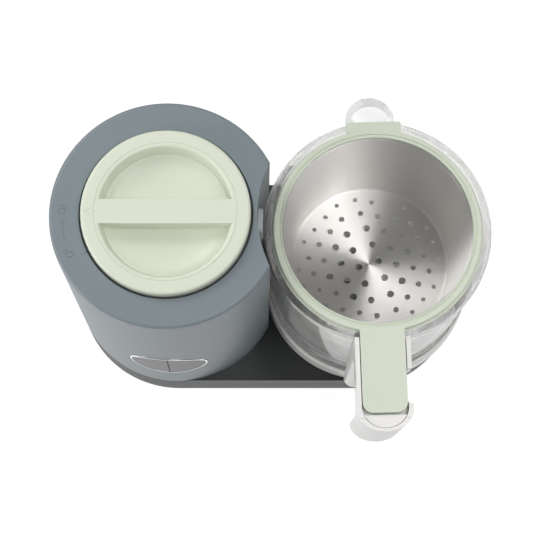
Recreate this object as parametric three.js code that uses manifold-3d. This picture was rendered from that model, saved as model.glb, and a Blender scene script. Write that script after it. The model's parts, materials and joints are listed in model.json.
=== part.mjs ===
// Countertop baby food maker: a steam tower with a water tank beside a glass blender bowl on one base.
// Millimetres, +Z up, front is -Y. The tower stands on the left, the bowl with its basket on the right.
import * as THREE from "three";
import { mergeVertices } from "three/addons/utils/BufferGeometryUtils.js";
import Module from "manifold-3d";

const wasm = await Module();
wasm.setup();

// ---------- driving dimensions ----------
const GAP = 0.3; // clearance between neighbouring pieces
const FACETS = { tower: 48, big: 32, mid: 20, small: 10, tiny: 6 };
const BASE_CURVE = FACETS.tower / 4; // gives the round ends of the base the same facets as the tower

const TOWER_R = 75;
const TOWER_TOP = 222;
const BOWL_X = 138; // bowl axis, measured from the tower axis
const BASE_END_X = 134; // centre of the base's right-hand end
const BASE_R = 75;
const BASE_BOTTOM = 2.2;
const BASE_TOP = 32.5;
const DECK_TOP = 35;
const WALL = 2.6;
const SCALLOP_R = 79.5; // hollow in the tower that clears the bowl

const TANK_R = 46.6;
const TANK_BOTTOM = 120;
const TANK_TOP = 203;
const NECK_R = 46;
const NECK_TOP = 219;
const CAP_R = 54.3;
const CAP_TOP = 228.2;
const CAP_HOLE_R = 55.7;
const CAP_LUG_DEG = 24; // width of each bayonet lug, less than the cap's 27 degree turn

const BOWL_TURN = 1.4; // degrees: the bowl's locked position, handle just off square
const BOWL_RIM_R = 75.7;
const BOWL_RIM_Z = 181.6;
const BOWL_FLOOR_Z = 57.5;
const LEDGE_Z = 177; // step inside the bowl that carries the basket
const COLLAR_R = 74.5;
const COLLAR_TOP = 55;
const SEAT_R = 58;
const SEAT_LUG_DEG = 26;

const SPOUT_R = 16.6;
const SPOUT_OUT = 75.8; // spout centre, from the bowl axis
const SPOUT_TURN = 1.7; // degrees off the line opposite the handle
const THROAT_R = 14.2;
const THROAT_OUT = 72.3; // nearer the axis than the spout, so the lip is thickest where it pours

const BASKET_R = 62.5;
const BASKET_FLOOR_R = 57.5;
const BASKET_FLOOR_Z = 87;
const BASKET_WALL = 0.8;
const HOLE_PITCH = 13;
const HOLE_ROW_DEG = -12.5; // direction of a row of holes
const HOLE_FIELD_R = 55;
const HOLE_DRAW_IN = 0.062; // how much the pattern shrinks at 50 mm out, from drawing the sheet
const HOLE_SIZES = [[30, 2.5], [44, 2.05], [Infinity, 1.6]]; // radius of the holes within each field

const RING_TOP = 184.8;
const RING_R = 69.2;
const SKIRT_R = 70.3; // lower edge of the ring, on the bowl's ledge
const TONGUE_HALF = 14.6;
const TONGUE_END = 122.4;
const TONGUE_TOP = 185.4;

const HANDLE_HALF = 18.2;
const HANDLE_END = 134.4;
const HANDLE_TOP = 184.5;
const HANDLE_WALL = 3;
const NOSE = 13.4; // depth of the handle's rounded end
const NOSE_WALL = 2.2;
const GRIP_BOTTOM = 91;
const GRIP_LEAN = 0.069; // how far the grip leans in per mm down
const LEG_LEAN = 0.025;
const CHANNEL_FLOOR = 176;

const BUTTON_HALF_W = 25.6;
const BUTTON_HALF_H = 21.6;
const BUTTON_Z = 94;
const BUTTON_TURN = -3; // degrees from straight ahead
const BEZEL_W = 1;

const MOTOR_X = -15;
const MOTOR_R = 28;
const BELT_Z = [17, 26];
const MOTOR_PULLEY_R = 9;
const DRIVE_PULLEY_R = 36;
const SPINDLE_R = 5;

// Moves the part so that the middle of its footprint is the origin.
const ORIGIN = new THREE.Vector3(69.34, -21.02, 0);

// ---------- materials ----------
const finish = (color, roughness, metalness = 0, opacity = 1) =>
  new THREE.MeshStandardMaterial({ color, roughness, metalness, opacity, transparent: opacity < 1 });
const housingGrey = finish(0x7f8a8f, 0.45);
const deckGrey = finish(0x3a3d3e, 0.3);
const sage = finish(0xd4dac9, 0.45);
const capSage = finish(0xdfe4d3, 0.45);
const warmWhite = finish(0xefeeec, 0.35);
const steel = finish(0xc4c4c2, 0.3, 1);
const glass = finish(0xf2f5f5, 0.05, 0, 0.35);
const rubber = finish(0x4a4d4f, 0.8);
const silicone = finish(0x9aa0a6, 0.6);
const chrome = finish(0xe6e6e6, 0.08, 1);
const buttonGrey = finish(0x6f7071, 0.5);
const aluminium = finish(0xb8b8b4, 0.4, 1);
const brass = finish(0xb9975b, 0.35, 1);
const boardGreen = finish(0x2e5b3c, 0.6);
const darkPlastic = finish(0x2b2d2e, 0.55);
const zincSteel = finish(0x9a9c9e, 0.4, 1);

// ---------- solids ----------
// A three.js geometry as a solid, with its shared vertices merged and its collapsed faces dropped.
function solid(geometry) {
  const bare = new THREE.BufferGeometry().setAttribute("position", geometry.getAttribute("position"));
  bare.setIndex(geometry.index);
  const merged = mergeVertices(bare, 1e-4);
  const index = merged.index.array;
  const faces = [];
  for (let i = 0; i < index.length; i += 3) {
    const [a, b, c] = index.slice(i, i + 3);
    if (a !== b && b !== c && c !== a) faces.push(a, b, c);
  }
  return new wasm.Manifold(
    new wasm.Mesh({
      numProp: 3,
      vertProperties: new Float32Array(merged.getAttribute("position").array),
      triVerts: new Uint32Array(faces),
    }),
  );
}

function geometryOf(body) {
  const mesh = body.getMesh();
  return new THREE.BufferGeometry()
    .setAttribute("position", new THREE.BufferAttribute(new Float32Array(mesh.vertProperties), 3))
    .setIndex(new THREE.BufferAttribute(new Uint32Array(mesh.triVerts), 1));
}

const union = (...bodies) => bodies.reduce((all, one) => all.add(one));

// Turns a profile of [radius, height] pairs about the Z axis.
function revolve(profile, segments = FACETS.big) {
  const points = profile.map(([r, z]) => new THREE.Vector2(r, z));
  if (THREE.ShapeUtils.isClockWise(points)) points.reverse();
  if (points.every((p) => p.x > 0)) points.push(points[0].clone());
  else {
    const start = points.findIndex((p, i) => p.x === 0 && points.at(i - 1).x === 0);
    points.push(...points.splice(0, start));
  }
  return solid(new THREE.LatheGeometry(points, segments).rotateX(Math.PI / 2));
}

// A round bar or tube along Z.
function bar(radius, low, high, { x = 0, y = 0, bore = 0, segments = FACETS.small } = {}) {
  const rim = bore
    ? [[bore, low], [radius, low], [radius, high], [bore, high]]
    : [[0, low], [radius, low], [radius, high], [0, high]];
  return revolve(rim, segments).translate([x, y, 0]);
}

// A flat outline raised along Z from low to high.
function raise(shape, low, high, curveSegments = 12) {
  const geometry = new THREE.ExtrudeGeometry(shape, {
    depth: high - low,
    bevelEnabled: false,
    curveSegments,
  });
  return solid(geometry.translate(0, 0, low));
}

function box([x0, x1], [y0, y1], [z0, z1]) {
  const geometry = new THREE.BoxGeometry(x1 - x0, y1 - y0, z1 - z0);
  return solid(geometry.translate((x0 + x1) / 2, (y0 + y1) / 2, (z0 + z1) / 2));
}

// Rounded rectangle outline from its two corners.
function roundedRect(x0, x1, y0, y1, r) {
  const shape = new THREE.Shape();
  shape.moveTo(x0 + r, y0).lineTo(x1 - r, y0);
  shape.absarc(x1 - r, y0 + r, r, -Math.PI / 2, 0);
  shape.absarc(x1 - r, y1 - r, r, 0, Math.PI / 2);
  shape.absarc(x0 + r, y1 - r, r, Math.PI / 2, Math.PI);
  shape.absarc(x0 + r, y0 + r, r, Math.PI, 1.5 * Math.PI);
  return shape;
}

// A bar or box shaped by moving each vertex.
function warp(geometry, move) {
  const position = geometry.getAttribute("position");
  const p = new THREE.Vector3();
  for (let i = 0; i < position.count; i++) {
    p.fromBufferAttribute(position, i);
    move(p);
    position.setXYZ(i, p.x, p.y, p.z);
  }
  return geometry;
}

// Lug segments of a bayonet ring: a sector of a ring, repeated three times.
function lugs(inner, outer, low, high, widthDeg, centreDeg = 0) {
  const half = THREE.MathUtils.degToRad(widthDeg / 2);
  const sector = new THREE.Shape();
  sector.absarc(0, 0, outer, -half, half, false);
  sector.absarc(0, 0, inner, half, -half, true);
  const lug = raise(sector, low, high, 4);
  return union(...[0, 120, 240].map((turn) => lug.rotate([0, 0, turn + centreDeg])));
}

const atBowl = (body) => body.translate([BOWL_X, 0, 0]);
const bowlCylinder = (radius, low, high) => atBowl(bar(radius, low, high, { segments: FACETS.big }));

// ---------- base ----------
function stadium(inset) {
  const r = BASE_R - inset;
  const shape = new THREE.Shape();
  shape.absarc(0, 0, r, Math.PI / 2, 1.5 * Math.PI);
  shape.absarc(BASE_END_X, 0, r, -Math.PI / 2, Math.PI / 2);
  return shape;
}

const FOOT_AT = [[-38, -42], [-38, 42], [170, -42], [170, 42]];
const SCREW_AT = [[-58, 0], [60, -58], [60, 58], [193, 0]];
const COVER_Z = [4.6, 7.1];
const GLAND_AT = { x: 34, z: 18, r: 6 };

function footprint(clear) {
  // the tower's plan as a solid, scalloped by the bowl's clearance
  const round = bar(TOWER_R + clear, 0, 240, { segments: FACETS.tower });
  return round.subtract(bowlCylinder(SCALLOP_R - clear, -1, 241));
}

function baseShell() {
  const rounded = new THREE.ExtrudeGeometry(stadium(0.9), {
    depth: BASE_TOP - BASE_BOTTOM - 1.8,
    bevelSize: 0.9,
    bevelThickness: 0.9,
    bevelSegments: 1,
    curveSegments: BASE_CURVE,
  });
  let shell = solid(rounded.translate(0, 0, BASE_BOTTOM + 0.9));
  shell = shell.subtract(raise(stadium(WALL), 0, BASE_TOP - WALL, BASE_CURVE));
  for (const [x, y] of SCREW_AT) {
    shell = shell.add(bar(4.2, COVER_Z[1] + GAP, BASE_TOP - 1, { x, y, segments: FACETS.tiny }));
    shell = shell.subtract(bar(1.9, 0, BASE_TOP - 6, { x, y, segments: FACETS.tiny }));
  }
  const well = bar(58, 20, 40, { segments: FACETS.mid }).subtract(bowlCylinder(SCALLOP_R + 6, 0, 60));
  const gland = bar(GLAND_AT.r + GAP, 0, 20).rotate([-90, 0, 0]).translate([GLAND_AT.x, 62, GLAND_AT.z]);
  return shell.subtract(well).subtract(bowlCylinder(12.4, 20, 40)).subtract(gland);
}

function baseDeck() {
  const rounded = new THREE.ExtrudeGeometry(stadium(0.8), {
    depth: 0.6,
    bevelSize: 0.8,
    bevelThickness: 0.8,
    bevelSegments: 1,
    curveSegments: BASE_CURVE,
  });
  const plate = solid(rounded.translate(0, 0, BASE_TOP + GAP + 0.8));
  const sunk = bowlCylinder(SEAT_R + 3.4, DECK_TOP - 1, 40);
  return plate.subtract(footprint(GAP)).subtract(bowlCylinder(12.4, 20, 40)).subtract(sunk);
}

function bottomCover() {
  let plate = raise(stadium(WALL + GAP), ...COVER_Z, BASE_CURVE);
  for (const [x, y] of FOOT_AT) plate = plate.subtract(bar(3.4, 0, 12, { x, y }));
  for (const [x, y] of SCREW_AT) plate = plate.subtract(bar(1.9, 0, 12, { x, y, segments: FACETS.tiny }));
  for (let slot = -2; slot <= 2; slot++) {
    plate = plate.subtract(box([-30, 6], [slot * 8 - 1.5, slot * 8 + 1.5], [0, 12]));
  }
  const boss = atBowl(bar(12, COVER_Z[1] - 1, 12.5, { bore: 9.3 })).add(atBowl(bar(12, 5, 7)));
  return plate.add(boss);
}

function foot(x, y) {
  const profile = [[0, 0], [8, 0], [9, 1], [9, COVER_Z[0] - GAP], [3, COVER_Z[0] - GAP], [3, 8.6], [0, 8.6]];
  return revolve(profile, FACETS.small).translate([x, y, 0]);
}

function baseScrew(x, y) {
  const profile = [[0, 2.3], [3.2, 2.3], [3.2, COVER_Z[0] - GAP], [1.5, COVER_Z[0] - GAP], [1.5, 20], [0, 21]];
  return revolve(profile, FACETS.tiny).translate([x, y, 0]);
}

function cordGland() {
  const profile = [[3.5, 0], [6, 0], [6, 5.4], [9.2, 5.4], [9.2, 7.6], [6.4, 8.4], [5, 16], [3.5, 16]];
  return revolve(profile, FACETS.small).rotate([-90, 0, 0]).translate([GLAND_AT.x, BASE_R - 5, GLAND_AT.z]);
}

// ---------- tower ----------
function buttonOutline(grow) {
  const oval = new THREE.Shape();
  oval.absellipse(0, 0, BUTTON_HALF_W + grow, BUTTON_HALF_H + grow, 0, 2 * Math.PI);
  return oval;
}

// Raises an outline drawn on the tower's front outwards, from one radius to another.
function onFront(shape, from, to) {
  const block = raise(shape, from - 12, to + 2, 10).rotate([90, 0, 0]).translate([0, 0, BUTTON_Z]);
  const shell = bar(to, 20, 200, { bore: from, segments: FACETS.big });
  return block.intersect(shell).rotate([0, 0, BUTTON_TURN]);
}

function towerShell() {
  const low = BASE_TOP + GAP;
  const edge = TOWER_TOP - 2.4;
  const arc = [0, 45, 90].map((deg) => {
    const a = THREE.MathUtils.degToRad(deg);
    return [TOWER_R - 2.4 + 2.4 * Math.cos(a), edge + 2.4 * Math.sin(a)];
  });
  const outer = revolve([[0, low], [TOWER_R, low], ...arc, [0, TOWER_TOP]], FACETS.tower)
    .subtract(bowlCylinder(SCALLOP_R, 0, 240));
  const room = revolve([
    [0, 0], [TOWER_R - WALL, 0], [TOWER_R - WALL, TOWER_TOP - 3], [58.4, TOWER_TOP - 3], [58.4, 209], [0, 209],
  ]).subtract(bowlCylinder(SCALLOP_R + 2.8, -1, 240));
  const steamHole = bar(4.4, 40, 70).rotate([0, 90, 0]).translate([0, 0, 196]);
  return outer
    .subtract(room)
    .subtract(bar(CAP_HOLE_R, 200, 230, { segments: FACETS.big }))
    .subtract(onFront(buttonOutline(BEZEL_W + 0.9), 66, 80))
    .subtract(steamHole);
}

const buttonBezel = () =>
  onFront(buttonOutline(BEZEL_W + 0.6), 71.6, TOWER_R + 0.35).subtract(onFront(buttonOutline(0.5), 60, 80));

function buttonHalf(side) {
  const plane = side > 0 ? [0.25, 60] : [-60, -0.25];
  const half = box(plane, [-90, -50], [40, 150]).rotate([0, 0, BUTTON_TURN]);
  const face = onFront(buttonOutline(0), 69.4, TOWER_R + 0.2).intersect(half);
  const stem = bar(3, 62.2, 71).rotate([90, 0, 0]).translate([side * 12, 0, BUTTON_Z]).rotate([0, 0, BUTTON_TURN]);
  return face.add(stem);
}

const controlBoard = () => box([-26, 26], [-51.6, -50], [76, 111]).rotate([0, 0, BUTTON_TURN]);

function pushSwitch(side) {
  const body = box([side * 12 - 5, side * 12 + 5], [-58, -51.9], [BUTTON_Z - 5, BUTTON_Z + 5]);
  const plunger = bar(1.6, 57, 60.4, { segments: FACETS.tiny }).rotate([90, 0, 0]);
  return body.add(plunger.translate([side * 12, 0, BUTTON_Z])).rotate([0, 0, BUTTON_TURN]);
}

function waterTank() {
  const t = 1.2;
  return revolve([
    [0, TANK_BOTTOM], [TANK_R - 6, TANK_BOTTOM], [TANK_R, TANK_BOTTOM + 6], [TANK_R + t, TANK_TOP - t - 8],
    [TANK_R + t, TANK_TOP - t], [54, TANK_TOP - t], [54, TANK_TOP], [TANK_R, TANK_TOP],
    [TANK_R, TANK_TOP - 8], [TANK_R - t, TANK_BOTTOM + 7], [TANK_R - 7, TANK_BOTTOM + t], [0, TANK_BOTTOM + t],
  ], FACETS.mid).subtract(bar(3.2, 40, 52).rotate([0, 90, 0]).translate([0, 0, 191]));
}

const tankGasket = () => bar(54, TANK_TOP + GAP, TANK_TOP + 2.7, { bore: 47, segments: FACETS.mid });

function tankNeck() {
  const low = TANK_TOP + 3;
  const ring = revolve([
    [NECK_R, low], [64, low], [64, 208.6], [55.4, 208.6], [55.4, 215.4], [54.2, 215.4], [54.2, NECK_TOP],
    [NECK_R, NECK_TOP],
  ]);
  return ring.subtract(bowlCylinder(SCALLOP_R + 3.4, 0, 240)).add(lugs(43.8, NECK_R + 1, 207.6, 210.4, CAP_LUG_DEG));
}

const capSeal = () => bar(55.5, 215.8, TOWER_TOP - 0.6, { bore: 54.6, segments: FACETS.big });

const heaterPlate = () =>
  revolve([[0, 112.6], [42, 112.6], [44, 114.6], [44, 117], [41, TANK_BOTTOM - GAP], [0, TANK_BOTTOM - GAP]], FACETS.mid);

// A tube bent in a C below the heater plate, its two ends turned down as terminals.
function heatingElement() {
  const ringR = 31;
  const middle = 108.1;
  const path = new THREE.CurvePath();
  const arc = [];
  for (let deg = 20; deg <= 340; deg += 20) {
    const a = THREE.MathUtils.degToRad(deg);
    arc.push(new THREE.Vector3(ringR * Math.cos(a), ringR * Math.sin(a), middle));
  }
  path.add(new THREE.CatmullRomCurve3(arc));
  const section = new THREE.Shape();
  section.absarc(0, 0, 4, 0, 2 * Math.PI);
  const tube = solid(new THREE.ExtrudeGeometry(section, { extrudePath: path, steps: 18, curveSegments: 3 }));
  const ends = [arc[0], arc.at(-1)].map((p) => bar(2, 96, middle, { x: p.x, y: p.y, segments: FACETS.tiny }));
  return union(tube, ...ends);
}

const thermostat = () => union(bar(9, 106, 112.3), bar(6, 103, 106.5), box([-11, 11], [-2, 2], [101.4, 103.4]));

const steamPipe = () =>
  bar(4, 48.2, 58.2, { bore: 2.7 }).rotate([0, 90, 0]).translate([0, 0, 196]);

// Soft block on the scalloped wall, with the mouth that steam leaves by.
function steamOutlet() {
  const face = roundedRect(-8.25, 8.25, 186, 208, 3.5);
  const block = raise(face, 55, 62.1, 4).rotate([90, 0, 90]);
  const mouth = bar(3.2, 50, 70).rotate([0, 90, 0]).translate([0, 0, 196]);
  return block.intersect(bowlCylinder(SCALLOP_R - GAP, 180, 215)).subtract(mouth);
}

// ---------- tank cap ----------
function capTop() {
  const shell = revolve([
    [0, 214.6], [30, 215], [38, 216.8], [41.4, 220.4], [43.2, 227.4], [44, CAP_TOP], [53, CAP_TOP],
    [CAP_R, 226.8], [CAP_R, 219.6], [52, 219.6], [52, 225.6], [45.8, 225.6], [44, 219.2], [39.5, 214.2],
    [31, 212.6], [0, 212.4],
  ]);
  const grip = raise(roundedRect(-43.8, 43.8, -8, 8, 1), 214, CAP_TOP, 2)
    .intersect(bar(43.9, 200, 240, { segments: FACETS.big }));
  return shell.add(grip);
}

function capPlug() {
  const body = revolve([
    [0, 209], [41, 209], [41, 198.5], [43.3, 198.5], [43.3, 212], [0, 212],
  ], FACETS.mid);
  return body.add(lugs(43, 45.4, 203.8, 207.2, CAP_LUG_DEG));
}

const capGasket = () => bar(45.6, 211.2, 213.6, { bore: 43.7, segments: FACETS.mid });

// ---------- drive ----------
function motorBracket() {
  const plate = bar(66, BASE_TOP + GAP, 36, { segments: FACETS.mid }).subtract(bowlCylinder(SCALLOP_R + 3.6, 0, 60));
  const posts = [-1, 1].map((side) => bar(4, 35, 41, { x: MOTOR_X, y: side * 38 }));
  return union(plate, ...posts).subtract(bar(7, 20, 40, { x: MOTOR_X }));
}

function motorCan() {
  const can = revolve([
    [0, 41.4], [10, 41.4], [10, 39], [12, 39], [12, 41.4], [MOTOR_R - 2, 41.4], [MOTOR_R, 43.4], [MOTOR_R, 92],
    [MOTOR_R - 2, 94], [10, 94], [10, 98], [0, 98],
  ], FACETS.mid);
  const ears = box([-6, 6], [-43, 43], [41.4, 44]);
  return can.add(ears).subtract(bar(4.4, 30, 60)).translate([MOTOR_X, 0, 0]);
}

const motorShaft = () => bar(4, 11, 58, { x: MOTOR_X, segments: FACETS.small });

// Flanged pulley with a crowned face.
function pulley(radius, bore) {
  const [low, high] = BELT_Z;
  const middle = (low + high) / 2;
  return revolve([
    [bore, low - 1.6], [radius + 2.4, low - 1.6], [radius + 2.4, low - 0.4], [radius, low - 0.4],
    [radius + 0.3, middle], [radius, high + 0.4], [radius + 2.4, high + 0.4], [radius + 2.4, high + 1.6],
    [bore, high + 1.6],
  ], radius > 20 ? FACETS.mid : FACETS.small);
}

const motorPulley = () => pulley(MOTOR_PULLEY_R, 4 + GAP).translate([MOTOR_X, 0, 0]);

function drivePulley() {
  const wheel = pulley(DRIVE_PULLEY_R, SPINDLE_R + GAP);
  const pockets = [0, 60, 120, 180, 240, 300].map((turn) =>
    bar(8.5, 0, 40, { x: 21, segments: FACETS.tiny }).rotate([0, 0, turn]),
  );
  return atBowl(wheel.subtract(union(...pockets)));
}

// Outline that wraps two circles on the X axis, as a taut belt does.
function beltLoop(grow) {
  const small = MOTOR_PULLEY_R + grow;
  const large = DRIVE_PULLEY_R + grow;
  const lean = Math.acos((large - small) / (BOWL_X - MOTOR_X));
  const loop = new THREE.Shape();
  loop.absarc(MOTOR_X, 0, small, Math.PI - lean, Math.PI + lean);
  loop.absarc(BOWL_X, 0, large, Math.PI + lean, 3 * Math.PI - lean);
  return loop;
}

function driveBelt() {
  const outline = beltLoop(2.5);
  outline.holes.push(new THREE.Path(beltLoop(0.7).getPoints(10)));
  return raise(outline, ...BELT_Z, 10);
}

const driveSpindle = () => atBowl(bar(SPINDLE_R, 8, 46.2));
const lowerBush = () => atBowl(bar(9, 7.4, 13.5, { bore: SPINDLE_R + GAP }));
const upperBush = () => atBowl(bar(12, BASE_TOP - 2.4, DECK_TOP + 3, { bore: SPINDLE_R + GAP }));

// Rounded star with the given tip and root radii.
function star(tip, root, points) {
  const shape = new THREE.Shape();
  const steps = points * 6;
  for (let i = 0; i < steps; i++) {
    const a = (i / steps) * 2 * Math.PI;
    const r = (tip + root) / 2 + ((tip - root) / 2) * Math.cos(points * a);
    shape[i ? "lineTo" : "moveTo"](r * Math.cos(a), r * Math.sin(a));
  }
  return shape;
}

function driveCoupler() {
  const low = DECK_TOP + 3.4;
  return atBowl(raise(star(11, 8.6, 6), low, 46.6, 1).subtract(bar(SPINDLE_R + GAP, 0, 60)));
}

function bowlSeat() {
  const low = DECK_TOP - 1 + GAP;
  const ring = revolve([
    [12.5, low], [SEAT_R, low], [SEAT_R, 44], [SEAT_R - 3, 44], [SEAT_R - 3, low + 2.4], [12.5, low + 2.4],
  ]);
  return atBowl(ring.add(lugs(SEAT_R - 1, SEAT_R + 3, 41, 44, SEAT_LUG_DEG, 30)));
}

// ---------- bowl ----------
const bowlPiece = (body) => atBowl(body.rotate([0, 0, BOWL_TURN]));

function glassBowl() {
  const outer = revolve([
    [0, 53.3], [66, 53.3], [71, 57], [72.5, 65], [73.4, 67], [72.6, 69], [72.7, 72], [73.5, 74], [72.7, 76],
    [73.7, 174], [BOWL_RIM_R, 177.4], [BOWL_RIM_R, 180.2], [74.6, BOWL_RIM_Z], [0, BOWL_RIM_Z],
  ]);
  const inner = revolve([
    [0, BOWL_FLOOR_Z], [63, BOWL_FLOOR_Z], [67.6, 62], [69, LEDGE_Z], [70.7, LEDGE_Z], [70.7, 190], [0, 190],
  ]);
  const cone = (out, top, bottom, low, high) => {
    const straight = new THREE.CylinderGeometry(top, bottom, high - low, FACETS.mid).rotateX(Math.PI / 2);
    const leaned = warp(straight, (p) => {
      p.y += out - 5 * (0.5 - p.z / (high - low));
      p.z += (low + high) / 2;
    });
    return solid(leaned).rotate([0, 0, SPOUT_TURN]);
  };
  const spout = cone(SPOUT_OUT, SPOUT_R, 3, 138, BOWL_RIM_Z).add(bar(60, 140, 150));
  const throat = cone(THROAT_OUT, THROAT_R, 1, 142, BOWL_RIM_Z + 0.5);
  return bowlPiece(outer.add(spout).subtract(inner.add(throat)).subtract(bar(10, 40, 70)));
}

function bowlCollar() {
  const ring = revolve([
    [20, 50], [62, 50], [62, 36], [64.4, 36], [64.4, 50], [72, 50], [72, 36], [73.6, 36], [COLLAR_R, 37.2],
    [COLLAR_R, COLLAR_TOP - 1], [73.6, COLLAR_TOP], [72, COLLAR_TOP], [67, 52.9], [20, 52.9],
  ]);
  return bowlPiece(ring.add(lugs(SEAT_R + 0.5, 62.6, 36.8, 40.6, SEAT_LUG_DEG, 30 - BOWL_TURN)));
}

const bowlSeal = () => bowlPiece(bar(19.6, 50.4, 53, { bore: 11, segments: FACETS.mid }));

// The space that the glass, its rim bead and the collar take, grown by a gap: the handle is cut by it.
const bowlClearance = () =>
  revolve([
    [0, 20], [COLLAR_R + 0.4, 20], [COLLAR_R + 0.4, 55.6], [74.2, 56.4], [74.2, 174.6],
    [BOWL_RIM_R + 0.4, 176.8], [BOWL_RIM_R + 0.4, 182], [74.4, 182], [74.4, 200], [0, 200],
  ]);

// Plan of the handle, straight sides and an oval end, drawn with +Y away from the bowl.
function handlePlan(side, nose) {
  const half = HANDLE_HALF - side;
  const shape = new THREE.Shape();
  shape.moveTo(-half, 60).lineTo(half, 60);
  shape.absellipse(0, HANDLE_END - NOSE - nose, half, NOSE, 0, Math.PI);
  return shape;
}

// An outline raised along Z that leans in towards the bowl, by a share of its depth below the handle's top.
function leaning(shape, low, high, share, curveSegments) {
  const straight = new THREE.ExtrudeGeometry(shape, { depth: high - low, bevelEnabled: false, curveSegments });
  const leaned = warp(straight.translate(0, 0, low), (p) => {
    p.y += (p.z - HANDLE_TOP) * share;
  });
  return solid(leaned);
}

// Side view of the arm and the grip, as [distance from the bowl axis, height].
function hookOutline() {
  const shape = new THREE.Shape();
  shape.moveTo(72, HANDLE_TOP).lineTo(140, HANDLE_TOP).lineTo(132, GRIP_BOTTOM + 3);
  shape.quadraticCurveTo(131, GRIP_BOTTOM, 127, GRIP_BOTTOM).lineTo(118, GRIP_BOTTOM);
  shape.quadraticCurveTo(115, GRIP_BOTTOM, 115.4, GRIP_BOTTOM + 5).lineTo(119.4, 155);
  shape.quadraticCurveTo(120.2, 167, 108, 167).lineTo(92, 167);
  shape.quadraticCurveTo(83.6, 167, 83.6, 158).lineTo(72, 158);
  return shape;
}

function handleShell() {
  const plan = leaning(handlePlan(0, 0), 60, 190, GRIP_LEAN, 12);
  const side = raise(hookOutline(), -30, 30, 5).rotate([90, 0, 90]);
  const legOutline = roundedRect(-HANDLE_HALF, HANDLE_HALF, 50, 83.6, 7);
  const leg = leaning(legOutline, 38, HANDLE_TOP - 4, LEG_LEAN, 4);
  const channel = raise(handlePlan(HANDLE_WALL, NOSE_WALL), CHANNEL_FLOOR, 200, 12);
  const notchOutline = roundedRect(-30, HANDLE_WALL + 0.1 - HANDLE_HALF, 93.4, 116.5, 2);
  const notch = raise(notchOutline, 150, 200, 3);
  const frontStep = box([-30, 30], [125.5, 140], [HANDLE_TOP - 0.9, 200]);
  const body = side.intersect(plan).add(leg).subtract(bowlClearance());
  return bowlPiece(body.subtract(channel).subtract(notch).subtract(frontStep).rotate([0, 0, 180]));
}

// Tray in the handle's channel: a floor, and a raised end beyond the basket's tongue.
function handleCover() {
  const plan = handlePlan(HANDLE_WALL + GAP, NOSE_WALL + GAP);
  const floor = raise(plan, CHANNEL_FLOOR + GAP, CHANNEL_FLOOR + 2.8, 12);
  const end = raise(plan, CHANNEL_FLOOR + 2, HANDLE_TOP - 1.3, 12).intersect(box([-30, 30], [123.6, 140], [170, 190]));
  const body = floor.add(end).subtract(bar(77, 170, 190, { segments: FACETS.big }));
  return bowlPiece(body.rotate([0, 0, 180]));
}

// ---------- blade ----------
function bladeHub() {
  return atBowl(bar(9.6, 50.6, 62, { bore: 4 + GAP }).add(bar(13, BOWL_FLOOR_Z + GAP, 60.4, { bore: 4 + GAP })));
}

function bladeSocket() {
  const cup = bar(15.6, 40.6, 49.6).subtract(raise(star(11.5, 9.1, 6), 40, 47, 1));
  return atBowl(cup.add(bar(4, 49, 82)));
}

// Two swept wings about a hub; each wing rises or falls towards its tip.
function blade(level, tip, rise, turn) {
  const wing = new THREE.Shape();
  wing.moveTo(0, -6.5);
  wing.splineThru([new THREE.Vector2(12, -6.2), new THREE.Vector2(24, -3.4), new THREE.Vector2(tip, 4)]);
  wing.splineThru([new THREE.Vector2(24, 5.6), new THREE.Vector2(12, 6.6), new THREE.Vector2(0, 6.5)]);
  const flat = new THREE.ExtrudeGeometry(wing, { depth: 1.3, bevelEnabled: false, curveSegments: 6 });
  const bent = solid(
    warp(flat.translate(0, 0, level), (p) => {
      p.z += rise * Math.max(0, (p.x - 9) / (tip - 9)) ** 1.5;
    }),
  );
  const hub = bar(8, level - 0.9, level + 1.8);
  const pair = union(bent, bent.rotate([0, 0, 180]), hub);
  return atBowl(pair.subtract(bar(4 + GAP, 40, 100)).rotate([0, 0, turn]));
}

const bladeNut = () => atBowl(revolve([[0, 72], [6.4, 72], [6.4, 78], [4, 83.6], [0, 84.2]], 6).subtract(bar(4.3, 60, 82.4)));

// ---------- basket ----------
// Two fields of one triangular lattice, the right-hand one slid half a row along the line between them.
function holeCentres() {
  const direction = (deg) => {
    const a = THREE.MathUtils.degToRad(deg);
    return new THREE.Vector2(Math.cos(a), Math.sin(a)).multiplyScalar(HOLE_PITCH);
  };
  const row = direction(HOLE_ROW_DEG);
  const climb = direction(HOLE_ROW_DEG + 120);
  const centres = [];
  for (const side of [-1, 1]) {
    const start = row.clone().multiplyScalar(side * 0.66).addScaledVector(climb, side * 0.316);
    for (let i = 0; i <= 5; i++) {
      for (let j = -6; j <= 6; j++) {
        const at = start.clone().addScaledVector(row, side * i).addScaledVector(climb, j);
        const drawn = 1 - HOLE_DRAW_IN * (at.length() / 50) ** 2;
        if (at.length() < HOLE_FIELD_R) centres.push(at.multiplyScalar(drawn));
      }
    }
  }
  return centres;
}

function basketCup() {
  const t = BASKET_WALL;
  const z = BASKET_FLOOR_Z;
  const r = BASKET_FLOOR_R;
  const cup = revolve([
    [0, z + 2.4], [r - 2.6, z], [r - 0.7, z + 0.8], [r, z + 2.8], [BASKET_R, 182.4], [67.6, 182.4],
    [67.6, 181.6], [BASKET_R + t, 181.6], [r + t, z + 2.7], [r - 0.2, z], [r - 2.4, z - t], [0, z + 2.4 - t],
  ]);
  const pins = holeCentres().map(({ x, y }) => {
    const [, radius] = HOLE_SIZES.find(([field]) => Math.hypot(x, y) < field);
    return bar(radius, z - 6, z + 8, { x, y, segments: FACETS.tiny });
  });
  return bowlPiece(cup.subtract(wasm.Manifold.union(pins)));
}

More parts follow.
